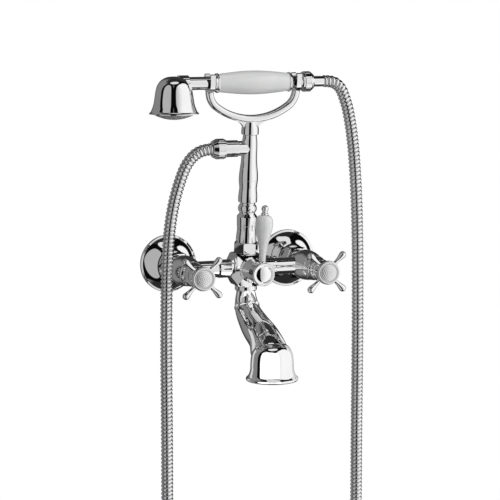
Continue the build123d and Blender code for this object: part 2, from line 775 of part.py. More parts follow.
def cradle_web():
    """Flared web that joins the socket to the underside of the bow."""
    half_top, half_foot, foot = 21.0, 8.0, 145.5
    shift = -arch_middle
    under = arch_height(half_top, strap_thickness / 2 - 0.3)
    slope = half_top / (arch_lift + arch_level - under)
    outline = make_face(Curve() + [
        Spline((shift - half_foot, foot), (shift - half_foot - 1.8, 150.2), (-half_top, under),
               tangents=[(0, 1), (-1, slope)]),
        Line((-half_top, under), (-half_top, arch_height(half_top))),
        ThreePointArc((-half_top, arch_height(half_top)), (0, arch_bottom),
                      (half_top, arch_height(half_top))),
        Line((half_top, arch_height(half_top)), (half_top, under)),
        Spline((half_top, under), (shift + half_foot + 1.8, 150.2), (shift + half_foot, foot),
               tangents=[(-1, -slope), (0, -1)]),
        Line((shift + half_foot, foot), (shift - half_foot, foot)),
    ])
    return cradle_view * extrude(outline, 3.7, both=True)


def cradle():
    """Socket, web, bow and two forks, cast in one."""
    piece = cradle_arch()
    piece += fork(left_fork, left_fork_bore)
    piece += fork(right_fork, right_fork_bore)
    piece += cradle_web()
    curves = [
        Line((0, socket_start + 0.2), (9.8, socket_start + 0.2)),
        Line((9.8, socket_start + 0.2), (10.1, socket_start + 0.6)),
        Spline((10.1, socket_start + 0.6), (9.7, column_top - 2), (7.0, arch_bottom - 3.0),
               tangents=[(0, 1), (-0.5, 1)]),
        Line((7.0, arch_bottom - 3.0), (0, arch_bottom - 3.0)),
        Line((0, arch_bottom - 3.0), (0, socket_start + 0.2)),
    ]
    piece += turned_curve(curves, column_plane)
    piece -= rod(7.0 + fit_gap, socket_start - 1, column_top + 0.2, column_plane)
    return piece - rod(2.05, 6.8, 13, cradle_screw_plane)


def cradle_screw():
    """Grub screw at the back of the socket, with a hexagon socket."""
    place = cradle_screw_plane
    screw = turned([(0, 7.0), (2.0, 7.0), (2.0, 10.2), (0, 10.2)], place, 0.2)
    socket = extrude(RegularPolygon(1.0, 6, major_radius=False), 3)
    return screw - place * Location((0, 0, 8.6)) * socket


# --- handset --------------------------------------------------------------
barrel_left = barrel_shift - barrel_length / 2
barrel_right = barrel_shift + barrel_length / 2
collar_width = 4.0
neck_radius = 7.4
end_neck_radius = 6.3
head_offset = -93.0        # handset centre to the axis of the shower head
core_radius = 4.6
neck_start = barrel_left - collar_width
end_start = barrel_right + collar_width


def handle_barrel():
    """White ceramic grip with a full middle and narrower ends."""
    bore = core_radius + 0.5
    quarter = barrel_length / 4
    curves = [
        Line((bore, barrel_left), (10.2, barrel_left)),
        Spline((10.2, barrel_left), (12.5, barrel_shift - quarter), (13.5, barrel_shift),
               (12.5, barrel_shift + quarter), (10.2, barrel_right),
               tangents=[(0.45, 4), (-0.45, 4)]),
        Line((10.2, barrel_right), (bore, barrel_right)),
        Line((bore, barrel_right), (bore, barrel_left)),
    ]
    return turned_curve(curves, handset_plane)


def handle_collars():
    """Two identical stepped collars that hold the ends of the ceramic grip."""
    pieces = []
    bore = core_radius + fit_gap
    for side, start in ((-1, barrel_left), (1, barrel_right)):
        profile = [
            (bore, start), (11.2, start), (11.2, start + side * 1.6),
            (10.2, start + side * 2.2), (9.0, start + side * collar_width),
            (bore, start + side * collar_width)]
        pieces.append(turned(profile, handset_plane, 0.25))
    return Compound(pieces)


def core_tube():
    """Brass tube through the grip: carries the water and ties the handset together."""
    profile = [
        (3.5, -66), (core_radius, -66), (core_radius, 56), (3.5, 56)]
    return turned(profile, handset_plane, 0.3)


head_rim = -34.0           # handset axis down to the rim of the head
seal_step = -31.2
face_back = -32.4
face_radius = 24.4
head_centre = handset_centre + Vector(head_offset, 0, 0)
head_plane = Plane(origin=head_centre, x_dir=(1, 0, 0), z_dir=(0, 0, 1))


def handset_neck():
    """Chromed tube from the left collar to the head."""
    bore = core_radius + fit_gap
    profile = [
        (bore, neck_start), (neck_radius, neck_start), (neck_radius, -78.5),
        (8.2, -80.0), (8.2, -82.0), (5.0, -82.0), (5.0, -66.2), (bore, -66.2)]
    return turned(profile, handset_plane, 0.3)


def shower_head():
    """Hollow bell with a flared rim and a side socket for the neck."""
    curves = [
        Spline((0, 8.2), (8.8, 7.2), (15.2, 3.4), (19.2, -2.4), (21.2, -10.0),
               (22.4, -18.0), (24.0, -25.5), (25.9, -30.4), (28.2, -33.0),
               tangents=[(1, 0), (1, -0.7)]),
        Line((28.2, -33.0), (28.2, head_rim)),
        Line((28.2, head_rim), (face_radius + 0.2, head_rim)),
        Line((face_radius + 0.2, head_rim), (face_radius + 0.2, seal_step)),
        Line((face_radius + 0.2, seal_step), (22.2, seal_step)),
        Spline((22.2, seal_step), (20.4, -24.0), (18.4, -15.0), (16.4, -7.0), (12.6, 0.2),
               (7.0, 4.2), (0, 5.6), tangents=[(-0.4, 1), (-1, 0)]),
        Line((0, 5.6), (0, 8.2)),
    ]
    bell = turned_curve(curves, head_plane)
    socket = turned(
        [(0, -88), (9.4, -88), (9.4, -76.6), (8.6, -75.8), (0, -75.8)],
        handset_plane, 0.2)
    bell += socket - (rod(19.0, -8, 3, head_plane))
    bell -= rod(8.2 + fit_gap, -82.1, -79.9, handset_plane)
    bell -= rod(8.2 + fit_gap, -80.0, -78.3, handset_plane)
    bell -= rod(neck_radius + fit_gap, -80.0, -70.0, handset_plane)
    return bell - rod(5.0, -94, -80.0, handset_plane)


def spray_face():
    """Convex plate with rings of nozzles."""
    curves = [
        Line((0, face_back), (face_radius, face_back)),
        Line((face_radius, face_back), (face_radius, head_rim)),
        dome(face_radius, head_rim, -40.6),
        Line((0, -40.6), (0, face_back)),
    ]
    plate = turned_curve(curves, head_plane)
    return plate - head_plane * hole_pattern(6.2, 0.8, -36)


def spray_seal():
    return ring(face_radius - 0.1, 22.8, face_back, seal_step, head_plane, 0.3)


end_shoulder = 60.4
thread_end = 69.0
upper_nut_start = 62.4


def handset_end():
    """Chromed end piece: slim neck for the fork, shoulder and hose thread."""
    bore = core_radius + fit_gap
    profile = [
        (bore, end_start), (end_neck_radius, end_start), (end_neck_radius, end_shoulder - 1),
        (10.6, end_shoulder), (10.6, upper_nut_start - 0.2), (9.2, upper_nut_start - 0.2),
        (9.2, upper_nut_start + 0.8), (hose_thread, upper_nut_start + 0.8),
        (hose_thread, thread_end), (3.6, thread_end), (3.6, 56.2), (bore, 56.2)]
    return turned(profile, handset_plane, 0.2)


ferrule_end = 88.0


def hose_ferrule_upper():
    """Smooth sleeve between the upper nut and the first turn of the hose."""
    start = thread_end + 1.2
    profile = [
        (3.6, start), (9.6, start), (9.6, start + 2.0), (6.1, start + 2.0),
        (6.1, ferrule_end - 1.0), (6.6, ferrule_end), (3.6, ferrule_end)]
    return turned(profile, handset_plane, 0.25)


# --- spout ----------------------------------------------------------------
spout_top = body_bottom - 7.0
mouth_level = -116.7
bell_place = upright_plane(spout_reach)
# Distance from the wall, height, outer and inner radius, and slope below level, in
# order down the spout. The first two bores are narrow and leave a seat for the seal.
spout_stations = (
    (65.0, spout_top, 10.8, 7.4, 90.0),
    (65.8, -36.0, 12.6, 8.2, 82.0),
    (68.8, -45.0, 14.1, 10.8, 62.0),
    (78.0, -53.6, 15.2, 12.4, 34.0),
    (95.0, -61.8, 16.9, 14.2, 21.0),
    (115.0, -68.6, 18.2, 15.5, 20.0),
    (134.0, -76.0, 19.2, 16.6, 30.0),
    (149.0, -86.5, 20.4, 17.8, 58.0),
)


def station_plane(station):
    """The plane of a station, square to the spout's path."""
    out, height, slope = station[0], station[1], math.radians(station[-1])
    direction = (0, -math.cos(slope), -math.sin(slope))
    return Plane(origin=(0, -out, height), x_dir=(1, 0, 0), z_dir=direction)


def spout_bell():
    """Bell mouth, solid inside, with a rolled lip."""
    lip_start, lip = -113.0, -115.0
    curves = [
        Spline((0, -72.5), (10.5, -73.6), (17.8, -77.3), (22.2, -83.5), (24.0, -91.0),
               (24.6, -99.0), (25.0, -105.5), (26.2, -109.3), (28.9, lip_start),
               tangents=[(1, 0), (1, -0.9)]),
        ThreePointArc((28.9, lip_start), (29.8, lip), (28.5, mouth_level)),
        Line((28.5, mouth_level), (0, mouth_level)),
        Line((0, mouth_level), (0, -72.5)),
    ]
    return turned_curve(curves, bell_place)


def bell_hollow():
    """The space inside the bell."""
    below = mouth_level - 2
    curves = [
        Spline((0, -77.0), (10.0, -77.8), (16.8, -81.2), (20.4, -87.0), (21.9, -94.5),
               (22.5, -102.0), (23.4, -107.5), (26.5, mouth_level),
               tangents=[(1, 0), (0.6, -1)]),
        Line((26.5, mouth_level), (26.5, below)),
        Line((26.5, below), (0, below)),
        Line((0, below), (0, -77.0)),
    ]
    return turned_curve(curves, bell_place)


def spout():
    """Swan shaped spout: flared neck, bead, rising bore and bell mouth."""
    outside = loft([station_plane(st) * Circle(st[2]) for st in spout_stations])
    inside = loft([station_plane(st) * Circle(st[3]) for st in spout_stations])
    bead_station = spout_stations[2]
    bead_radius = bead_station[2] + 0.8
    bead = ring(bead_radius, bead_radius - 2.2, -1.5, 1.5, station_plane(bead_station), 0.7)
    seat = bottom_thread_end - seal_thickness
    body = outside + spout_bell() + bead
    body -= inside
    body -= bell_hollow()
    return body - rod(union_thread + fit_gap, seat, spout_top + 1, upright_plane(reach))


def spout_collar():
    """Locking ring between the body and the spout."""
    bore = union_thread + fit_gap
    profile = [
        (bore, spout_top), (11.4, spout_top), (12.9, spout_top + 1.4),
        (12.9, body_bottom - 1.4), (11.8, body_bottom), (bore, body_bottom)]
    return turned(profile, upright_plane(reach), 0.3)


def flow_straightener():
    """Perforated disc pushed up into the bell."""
    disc = rod(21.4, -100.0, -96.5, bell_place)
    return disc - bell_place * hole_pattern(5.5, 1.7, -98)


# --- hose -----------------------------------------------------------------
# Route of the hose, from the lower nut down, round its hanging loop and up to the
# handset. The first two points and the last two are level with the two fittings.
hose_route = [
    (-43.4, -77.9, 140.4), (-53.6, -77.9, 140.4), (-66.5, -77.9, 135.0),
    (-77.0, -78.1, 122.8), (-85.0, -78.3, 103.0), (-92.0, -78.5, 79.0),
    (-97.0, -78.6, 50.0), (-100.0, -78.6, 12.0), (-101.2, -78.4, -40.0),
    (-101.5, -78.0, -110.0), (-101.0, -78.2, -195.0), (-101.5, -78.7, -285.0),
    (-101.0, -79.2, -352.0), (-71.0, -80.0, -407.0), (-17.0, -80.8, -440.0),
    (45.0, -81.6, -441.0), (101.0, -82.4, -409.0), (132.4, -83.2, -353.0),
    (133.0, -84.0, -285.0), (132.5, -84.7, -195.0), (132.9, -85.2, -110.0),
    (132.5, -85.6, -28.0), (131.4, -85.8, 50.0), (128.6, -85.9, 107.0),
    (124.6, -85.9, 150.0), (118.8, -85.9, 183.0), (113.6, -85.9, 198.0),
    (110.2, -85.9, 206.4), (104.4, -85.9, 212.8), (96.5, -85.9, 216.2),
    (88.0, -85.9, 216.2),
]


def hose_radii(points):
    """The largest bend radius that the two runs beside each corner allow."""
    radii = []
    for before, corner, after in zip(points, points[1:], points[2:]):
        run_in = Vector(*corner) - Vector(*before)
        run_out = Vector(*after) - Vector(*corner)
        half_turn = math.radians(run_in.get_angle(run_out)) / 2
        radii.append(0.45 * min(run_in.length, run_out.length) / math.tan(half_turn))
    return radii


def hose():
    """Metal hose as a plain round tube along its hanging route."""
    start = tee_centre + Vector(-hose_start, 0, 0)
    end = handset_centre + Vector(ferrule_end, 0, 0)
    points = [tuple(start)] + hose_route[1:-1] + [tuple(end)]
    points[1] = (points[1][0], start.Y, start.Z)
    points[-2] = (points[-2][0], end.Y, end.Z)
    radii = hose_radii(points)
    print("hose bend radii", [round(radius) for radius in radii])
    path = FilletPolyline(*points, radius=radii)
    section = Plane(origin=start, x_dir=(0, 0, 1), z_dir=(-1, 0, 0)) * Circle(hose_radius)
    tube = sweep(section, path=path)
    expected = math.pi * hose_radius ** 2 * path.length
    print("hose length", round(path.length), "volume ratio", round(tube.volume / expected, 4))
    return tube


# --- write every piece ----------------------------------------------------
os.makedirs("parts", exist_ok=True)

for side, x in sides.items():
    save(inlet_nipple(x), f"inlet_nipple_{side}")
    save(wall_flange(x), f"wall_flange_{side}")
    save(union_nut(x), f"union_nut_{side}")
    save(headwork(x), f"headwork_{side}")
    save(valve_shroud(x), f"valve_shroud_{side}")
    save(spindle(x), f"spindle_{side}")
    save(ceramic_disc(x, fixed_disc_top, turning_disc_top), f"turning_disc_{side}")
    save(cross_handle(x), f"cross_handle_{side}")
    save(handle_screw(x), f"handle_screw_{side}")
    save(index_cap(x), f"index_cap_{side}")

save(Compound([union_washer(x) for x in sides.values()]), "union_washers")
save(Compound([seat_seal(x) for x in sides.values()]), "seat_seals")
fixed = [ceramic_disc(x, seal_top, fixed_disc_top) for x in sides.values()]
save(Compound(fixed), "fixed_discs")

save(mixer_body(), "mixer_body")
save(diverter_bonnet(), "diverter_bonnet")
save(diverter_rotor(), "diverter_rotor")
save(diverter_seals(), "diverter_seals")
save(diverter_hub(), "diverter_hub")
save(diverter_cap(), "diverter_cap")
save(lever_rod(), "lever_rod")
save(lever_handle(), "lever_handle")
save(lever_finial(), "lever_finial")

save(column_nut(), "column_nut")
save(column_lower(), "column_lower")
save(column_middle(), "column_middle")
save(column_tee(), "column_tee")
save(body_seals(), "body_seals")
save(hose_outlet(), "hose_outlet")
save(check_valve(), "check_valve")
save(cradle(), "cradle")
save(cradle_screw(), "cradle_screw")

save(spout(), "spout")
save(spout_collar(), "spout_collar")
save(flow_straightener(), "flow_straightener")

save(shower_head(), "shower_head")
save(spray_face(), "spray_face")
save(spray_seal(), "spray_seal")
save(handset_neck(), "handset_neck")
save(handle_collars(), "handle_collars")
save(handle_barrel(), "handle_barrel")
save(core_tube(), "core_tube")
save(handset_end(), "handset_end")

save(hose_washer(outlet_end, tee_plane), "hose_washer_lower")
save(hose_ferrule_lower(), "hose_ferrule_lower")
lower_nut = hose_nut(
    outlet_shoulder + 0.8, lower_nut_end - outlet_shoulder - 0.8, hose_start,
    hose_radius + 0.3, tee_plane)
save(lower_nut, "hose_nut_lower")
save(hose_washer(thread_end, handset_plane), "hose_washer_upper")
save(hose_ferrule_upper(), "hose_ferrule_upper")
upper_nut = hose_nut(upper_nut_start, 12.0, thread_end + 3.3, 6.3, handset_plane)
save(upper_nut, "hose_nut_upper")
save(hose(), "hose")
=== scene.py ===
"""Looks of a wall mounted bath and shower mixer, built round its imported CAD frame.

Everything is in metres: +X to the right along the wall, -Y out into the room, +Z up.
"""

import json
import math

import bpy
import numpy as np
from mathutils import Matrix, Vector


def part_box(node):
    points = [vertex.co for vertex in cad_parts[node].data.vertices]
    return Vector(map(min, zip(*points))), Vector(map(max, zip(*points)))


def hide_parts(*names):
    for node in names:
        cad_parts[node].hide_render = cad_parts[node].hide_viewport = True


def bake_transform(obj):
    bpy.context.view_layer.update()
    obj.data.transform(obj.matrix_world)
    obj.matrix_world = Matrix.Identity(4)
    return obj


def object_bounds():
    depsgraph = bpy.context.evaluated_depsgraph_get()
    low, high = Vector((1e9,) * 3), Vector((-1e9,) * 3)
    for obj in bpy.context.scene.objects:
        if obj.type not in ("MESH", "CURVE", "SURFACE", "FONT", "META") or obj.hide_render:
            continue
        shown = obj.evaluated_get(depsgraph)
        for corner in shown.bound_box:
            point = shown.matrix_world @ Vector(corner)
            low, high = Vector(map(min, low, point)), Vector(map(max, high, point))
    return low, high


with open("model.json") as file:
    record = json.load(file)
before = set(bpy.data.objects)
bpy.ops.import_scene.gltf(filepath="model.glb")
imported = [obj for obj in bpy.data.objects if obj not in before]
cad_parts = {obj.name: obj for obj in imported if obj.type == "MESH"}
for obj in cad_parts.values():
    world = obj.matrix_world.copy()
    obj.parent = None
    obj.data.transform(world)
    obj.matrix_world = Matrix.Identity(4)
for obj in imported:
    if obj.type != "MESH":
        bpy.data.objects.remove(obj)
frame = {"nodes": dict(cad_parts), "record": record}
cad_low, cad_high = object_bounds()

# ---------------------------------------------------------------- camera
CAMERA_AZIMUTH = math.radians(-19.4)     # the viewer stands a little to the left
CAMERA_ELEVATION = math.radians(7.6)
CAMERA_DISTANCE = 2.403
CAMERA_TARGET = Vector((0.007, -0.060, 0.0196))
CAMERA_LENS = 148.2                      # in millimetres, as is the sensor
CAMERA_SENSOR = 36.0
CAMERA_NEAREST = 0.05
CAMERA_FARTHEST = 50.0


def make_camera():
    data = bpy.data.cameras.new("camera")
    data.lens = CAMERA_LENS
    data.sensor_width = CAMERA_SENSOR
    data.clip_start = CAMERA_NEAREST
    data.clip_end = CAMERA_FARTHEST
    camera = bpy.data.objects.new("camera", data)
    bpy.context.scene.collection.objects.link(camera)
    back = Vector((
        math.sin(CAMERA_AZIMUTH) * math.cos(CAMERA_ELEVATION),
        -math.cos(CAMERA_AZIMUTH) * math.cos(CAMERA_ELEVATION),
        math.sin(CAMERA_ELEVATION)))
    camera.location = CAMERA_TARGET + back * CAMERA_DISTANCE
    camera.rotation_mode = "QUATERNION"
    camera.rotation_quaternion = (-back).to_track_quat("-Z", "Y")
    bpy.context.scene.camera = camera


# ---------------------------------------------------------------- meshes
def mesh_object(name, vertices, faces, smooth=True):
    """A new object with this mesh, in the scene."""
    mesh = bpy.data.meshes.new(name)
    mesh.from_pydata([tuple(v) for v in vertices], [], faces)
    mesh.validate()
    mesh.polygons.foreach_set("use_smooth", [smooth] * len(mesh.polygons))
    mesh.update()
    made = bpy.data.objects.new(name, mesh)
    bpy.context.scene.collection.objects.link(made)
    return made


# ---------------------------------------------------------------- hose
HOSE_DIAMETER = 0.014
HOSE_PITCH = 0.0046        # from one turn of the metal strip to the next
HOSE_SEGMENTS = 28         # faces round it
# The strip's profile: share of the pitch, and depth below the crown as a share of the
# hose's radius.
HOSE_STRIP = (
    (0.00, 0.165), (0.12, 0.160), (0.20, 0.075), (0.30, 0.022), (0.44, 0.0),
    (0.62, 0.0), (0.76, 0.022), (0.87, 0.075), (0.95, 0.160))
# The strip's deepest row is painted dark grey, as shade in the groove.
HOSE_GROOVE_SHADE_ROW = 0          # the strip's row at the bottom of the groove
# Control points of the hose's middle line, from the mixer's outlet to the handset.
HOSE_ROUTE = (
    (-0.0434, -0.0779, 0.1404), (-0.0536, -0.0779, 0.1404), (-0.0665, -0.0779, 0.1350),
    (-0.0770, -0.0781, 0.1228), (-0.0850, -0.0783, 0.1030), (-0.0920, -0.0785, 0.0790),
    (-0.0970, -0.0786, 0.0500), (-0.1000, -0.0786, 0.0120), (-0.1012, -0.0784, -0.0400),
    (-0.1015, -0.0780, -0.1100), (-0.1010, -0.0782, -0.1950), (-0.1015, -0.0787, -0.2850),
    (-0.1010, -0.0792, -0.3520), (-0.0710, -0.0800, -0.4070), (-0.0170, -0.0808, -0.4400),
    (0.0450, -0.0816, -0.4410), (0.1010, -0.0824, -0.4090), (0.1324, -0.0832, -0.3530),
    (0.1330, -0.0840, -0.2850), (0.1325, -0.0847, -0.1950), (0.1329, -0.0852, -0.1100),
    (0.1325, -0.0856, -0.0280), (0.1314, -0.0858, 0.0500), (0.1286, -0.0859, 0.1070),
    (0.1246, -0.0859, 0.1500), (0.1188, -0.0859, 0.1830), (0.1136, -0.0859, 0.1980),
    (0.1102, -0.0859, 0.2064), (0.1044, -0.0859, 0.2128), (0.0965, -0.0859, 0.2162),
    (0.0880, -0.0859, 0.2162))
ROUTE_ORDER = 3            # of the spline through them
ROUTE_RESOLUTION = 24      # its steps from one control point to the next
SAME_PLACE = 1e-7          # nearer than this, two points of a line are one
NO_LENGTH = 1e-6           # shorter than this, a face is cut off by the hose's end


def smooth_route(points):
    """Points read along the NURBS spline that has these points as its control points."""
    curve = bpy.data.curves.new("route", "CURVE")
    curve.dimensions = "3D"
    spline = curve.splines.new("NURBS")
    spline.points.add(len(points) - 1)
    for point, place in zip(spline.points, points):
        point.co = (*place, 1.0)
    spline.order_u = ROUTE_ORDER
    spline.use_endpoint_u = True
    spline.resolution_u = ROUTE_RESOLUTION
    holder = bpy.data.objects.new("route", curve)
    bpy.context.scene.collection.objects.link(holder)
    bpy.context.view_layer.update()
    mesh = bpy.data.meshes.new_from_object(holder)
    line = np.array([v.co for v in mesh.vertices])
    bpy.data.objects.remove(holder)
    bpy.data.meshes.remove(mesh)
    bpy.data.curves.remove(curve)
    return line


class Line:
    """A smooth line with a frame that doesn't twist along it."""

    def __init__(self, points):
        runs = np.linalg.norm(np.diff(points, axis=0), axis=1)
        keep = np.concatenate([[True], runs > SAME_PLACE])
        self.points = points[keep]
        runs = np.linalg.norm(np.diff(self.points, axis=0), axis=1)
        self.along = np.concatenate([[0.0], np.cumsum(runs)])
        self.length = self.along[-1]
        tangents = np.gradient(self.points, self.along, axis=0)
        self.tangents = tangents / np.linalg.norm(tangents, axis=1)[:, None]
        normal = np.cross(self.tangents[0], (0.0, 1.0, 0.0))
        normals = []
        for tangent in self.tangents:
            normal = normal - tangent * (normal @ tangent)
            normal = normal / np.linalg.norm(normal)
            normals.append(normal)
        self.normals = np.array(normals)

    def read(self, values, distance):
        """One of the line's rows of vectors, read at these distances along it."""
        columns = [np.interp(distance, self.along, values[:, i]) for i in range(3)]
        return np.stack(columns, axis=-1)

    def surface(self, distance, angle, radius):
        """Points at these distances along the line, angles and radii round it."""
        centre = self.read(self.points, distance)
        tangent = self.read(self.tangents, distance)
        normal = self.read(self.normals, distance)
        normal /= np.linalg.norm(normal, axis=-1)[..., None]
        binormal = np.cross(tangent, normal)
        binormal /= np.linalg.norm(binormal, axis=-1)[..., None]
        out = normal * np.cos(angle)[..., None] + binormal * np.sin(angle)[..., None]
        return centre + out * radius[..., None]


def wound_strip(line, pitch, profile, radius, segments):
    """A tube wound from one profiled strip: vertices and faces of its outside.

    Each row of vertices goes once round the tube and moves one pitch along it, so the
    last vertex of a row is joined to the first vertex of the row one turn further on.
    """
    turns = int(line.length / pitch) + 2
    per_turn = len(profile)
    shares = np.array([share for share, _ in profile])
    depths = np.array([depth for _, depth in profile])
    rows = turns * per_turn
    start = (np.repeat(np.arange(turns) - 1, per_turn) + np.tile(shares, turns)) * pitch
    depth = np.tile(depths, turns)
    angle = np.arange(segments) * 2 * math.pi / segments
    shift = np.arange(segments) * pitch / segments
    distance = np.clip(start[:, None] + shift[None, :], 0.0, line.length)
    radii = np.broadcast_to((radius * (1 - depth))[:, None], distance.shape)
    angles = np.broadcast_to(angle[None, :], distance.shape)
    vertices = line.surface(distance, angles, radii).reshape(-1, 3)
    faces = []
    for row in range(rows - 1):
        for step in range(segments):
            a = row * segments + step
            b = a + segments
            if step < segments - 1:
                corners = (a, b, b + 1, a + 1)
            elif row + per_turn + 1 < rows:
                far = (row + per_turn) * segments
                corners = (a, b, far + segments, far)
            else:
                continue
            low = min(distance.flat[i] for i in corners)
            high = max(distance.flat[i] for i in corners)
            if high - low > NO_LENGTH:
                faces.append(corners)
    return vertices, faces


def make_hose(material, groove_shade_material):
    """The metal hose, with painted shade along the bottom of its groove, in place of the
    plain tube.

    It runs along fixed points from the mixer's outlet to the handset, and the CAD hose is
    hidden.
    """
    line = Line(smooth_route(HOSE_ROUTE))
    vertices, faces = wound_strip(
        line, HOSE_PITCH, HOSE_STRIP, HOSE_DIAMETER / 2, HOSE_SEGMENTS)
    hose = mesh_object("metal_hose", vertices, faces)
    hose.data.materials.append(material)
    hose.data.materials.append(groove_shade_material)
    # Faces in the groove's deepest row take the painted shade.
    for face in hose.data.polygons:
        row = min(face.vertices) // HOSE_SEGMENTS % len(HOSE_STRIP)
        face.material_index = int(row == HOSE_GROOVE_SHADE_ROW)
    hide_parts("hose")
    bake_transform(hose)


# ---------------------------------------------------------------- node graphs
NOISE_ROUGHNESS = 0.5


def grey(value):
    return (value, value, value, 1.0)


class Graph:
    """Short ways to write a node tree."""

    def __init__(self, tree):
        self.tree = tree
        tree.nodes.clear()

    def add(self, kind, inputs=(), **settings):
        node = self.tree.nodes.new("ShaderNode" + kind)
        for name, value in settings.items():
            setattr(node, name, value)
        for socket, value in dict(inputs).items():
            self.put(node, socket, value)
        return node

    def put(self, node, socket, value):
        if isinstance(value, bpy.types.NodeSocket):
            self.tree.links.new(value, node.inputs[socket])
        else:
            node.inputs[socket].default_value = value

    def math(self, operation, *values):
        node = self.add("Math", operation=operation)
        for i, value in enumerate(values):
            self.put(node, i, value)
        return node.outputs[0]

    def ramp(self, value, low, high, start=0.0, end=1.0):
        """value from low to high, mapped smoothly onto start to end and held outside."""
        node = self.add("MapRange", interpolation_type="SMOOTHSTEP", clamp=True)
        for socket, given in enumerate((value, low, high, start, end)):
            self.put(node, socket, given)
        return node.outputs[0]

    def mix(self, share, first, second):
        """A plain mix of two numbers."""
        node = self.add("Mix", data_type="FLOAT")
        for socket, given in ((0, share), (2, first), (3, second)):
            self.put(node, socket, given)
        return node.outputs[0]

    def colours(self, share, first, second):
        node = self.add("Mix", data_type="RGBA")
        for socket, given in ((0, share), (6, first), (7, second)):
            self.put(node, socket, given)
        return node.outputs[2]

    def noise(self, scale, detail, vector):
        node = self.add("TexNoise", {
            "Scale": scale, "Detail": detail, "Roughness": NOISE_ROUGHNESS,
            "Vector": vector})
        return node.outputs["Fac"]

    def place(self):
        """A point's own place in the object's frame, in metres."""
        return self.add("TexCoord").outputs["Object"]


# ---------------------------------------------------------------- studio
# Panels of the light tent, two tall ones in front and a low one overhead: azimuth from
# the camera, elevation and half sizes of both, in degrees, brightness at the left edge
# and on the right, and the width of the black frame round the panel, in degrees.
PANELS = (
    (-41.5, -3.0, 26.5, 56.0, 0.58, 0.58, 17.0),
    (69.0, -3.0, 55.0, 57.0, 0.72, 1.25, 18.0),
    (15.0, 75.0, 75.0, 11.0, 1.00, 1.00, 2.0),
)
PANEL_ROUNDING = 2.8       # exponent of the panels' outline: 2 is an ellipse
PANEL_SOFTNESS = 0.06      # share of a panel's size over which its edge fades
PANEL_EVEN_FROM = 0.16     # share of the half width, left of the middle, where its fade ends
PANEL_FRAME = 0.004        # brightness of the black frames
TENT_LEFT = 0.29           # brightness of the tent round the panels, by side
TENT_RIGHT = 0.045
TENT_SIDES_MEET = 0.1      # half width of the fade between them, as a sine
TENT_BACK = 0.05           # brightness straight behind the object
TENT_BACK_FADE = (140.0, 162.0)    # degrees from the camera, either way
TENT_ENDS = 0.03           # brightness overhead and underneath
TENT_ENDS_FADE = (48.0, 66.0)      # degrees above and below the horizon
BACKDROP = 1.0             # brightness of what the camera sees behind the object
# White cards round the spout's bell: azimuth from the camera in degrees, width, height
# and brightness.
CARDS = (
    (-11.5, 0.50, 0.42, 1.10),
    (-120.0, 0.075, 0.13, 0.5),
    (136.0, 0.14, 0.20, 0.8),
)
CARD_DISTANCE = 0.20
CARD_INSET = 0.030         # their middle behind the spout's front
CARD_RISE = 0.045          # and above its mouth
# Large soft lamps: name, place, width and power. They face the middle of the mixer.
SOFT_LIGHTS = (
    ("key", (1.5, -1.9, 1.2), 1.6, 12.5),
    ("top", (0.0, -0.6, 1.8), 1.6, 7.8),
)
MIXER_MIDDLE = (0, -0.07, 0)
FLOOR_RADIUS = 1.1
FLOOR_DROP = 0.15          # below the bottom of the hose
FLOOR_STEPS = 96
FLOOR_GREY = 0.86
FLOOR_GLOW = 0.35
FLOOR_SOLID = 0.3          # radius of its solid middle
FLOOR_GONE = 0.98          # where it has faded out, as a share of its radius


def rounded_panel(graph, azimuth, elevation, middle_a, middle_e, half_a, half_e):
    """1 inside a rounded rectangle of directions, and 0 outside it."""
    total = None
    for value, middle, half in ((azimuth, middle_a, half_a), (elevation, middle_e, half_e)):
        share = graph.math("DIVIDE", graph.math("SUBTRACT", value, middle), half)
        power = graph.math("POWER", graph.math("ABSOLUTE", share), PANEL_ROUNDING)
        total = power if total is None else graph.math("ADD", total, power)
    return graph.ramp(total, 1.0 + PANEL_SOFTNESS, 1.0 - PANEL_SOFTNESS)


def make_world():
    """A light tent: soft panels with black frames in front and overhead, grey behind."""
    world = bpy.data.worlds.new("studio")
    world.use_nodes = True
    bpy.context.scene.world = world
    graph = Graph(world.node_tree)
    direction = graph.add("TexCoord").outputs["Generated"]
    turned = graph.add(
        "VectorRotate", {"Vector": direction, "Angle": -CAMERA_AZIMUTH},
        rotation_type="Z_AXIS")
    parts = graph.add("SeparateXYZ", {"Vector": turned.outputs[0]})
    x, y, z = parts.outputs
    towards_camera = graph.math("MULTIPLY", y, -1.0)
    azimuth = graph.math("DEGREES", graph.math("ARCTAN2", x, towards_camera))
    elevation = graph.math("DEGREES", graph.math("ARCSINE", z))
    light = graph.ramp(x, -TENT_SIDES_MEET, TENT_SIDES_MEET, TENT_LEFT, TENT_RIGHT)
    behind = graph.ramp(graph.math("ABSOLUTE", azimuth), *TENT_BACK_FADE)
    light = graph.mix(behind, light, TENT_BACK)
    steep = graph.ramp(graph.math("ABSOLUTE", elevation), *TENT_ENDS_FADE)
    light = graph.mix(steep, light, TENT_ENDS)
    for middle_a, middle_e, half_a, half_e, _, _, rim in PANELS:
        frame_mask = rounded_panel(
            graph, azimuth, elevation, middle_a, middle_e, half_a + rim, half_e + rim)
        light = graph.mix(frame_mask, light, PANEL_FRAME)
    for middle_a, middle_e, half_a, half_e, first, last, _ in PANELS:
        mask = rounded_panel(graph, azimuth, elevation, middle_a, middle_e, half_a, half_e)
        bright = graph.ramp(
            azimuth, middle_a - half_a, middle_a - PANEL_EVEN_FROM * half_a, first, last)
        light = graph.mix(mask, light, bright)
    reflected = graph.add("Background", {"Strength": light})
    seen = graph.add("Background", {"Color": (1, 1, 1, 1), "Strength": BACKDROP})
    ray = graph.add("LightPath")
    chosen = graph.add(
        "MixShader",
        {0: ray.outputs["Is Camera Ray"], 1: reflected.outputs[0], 2: seen.outputs[0]})
    graph.add("OutputWorld", {"Surface": chosen.outputs[0]})


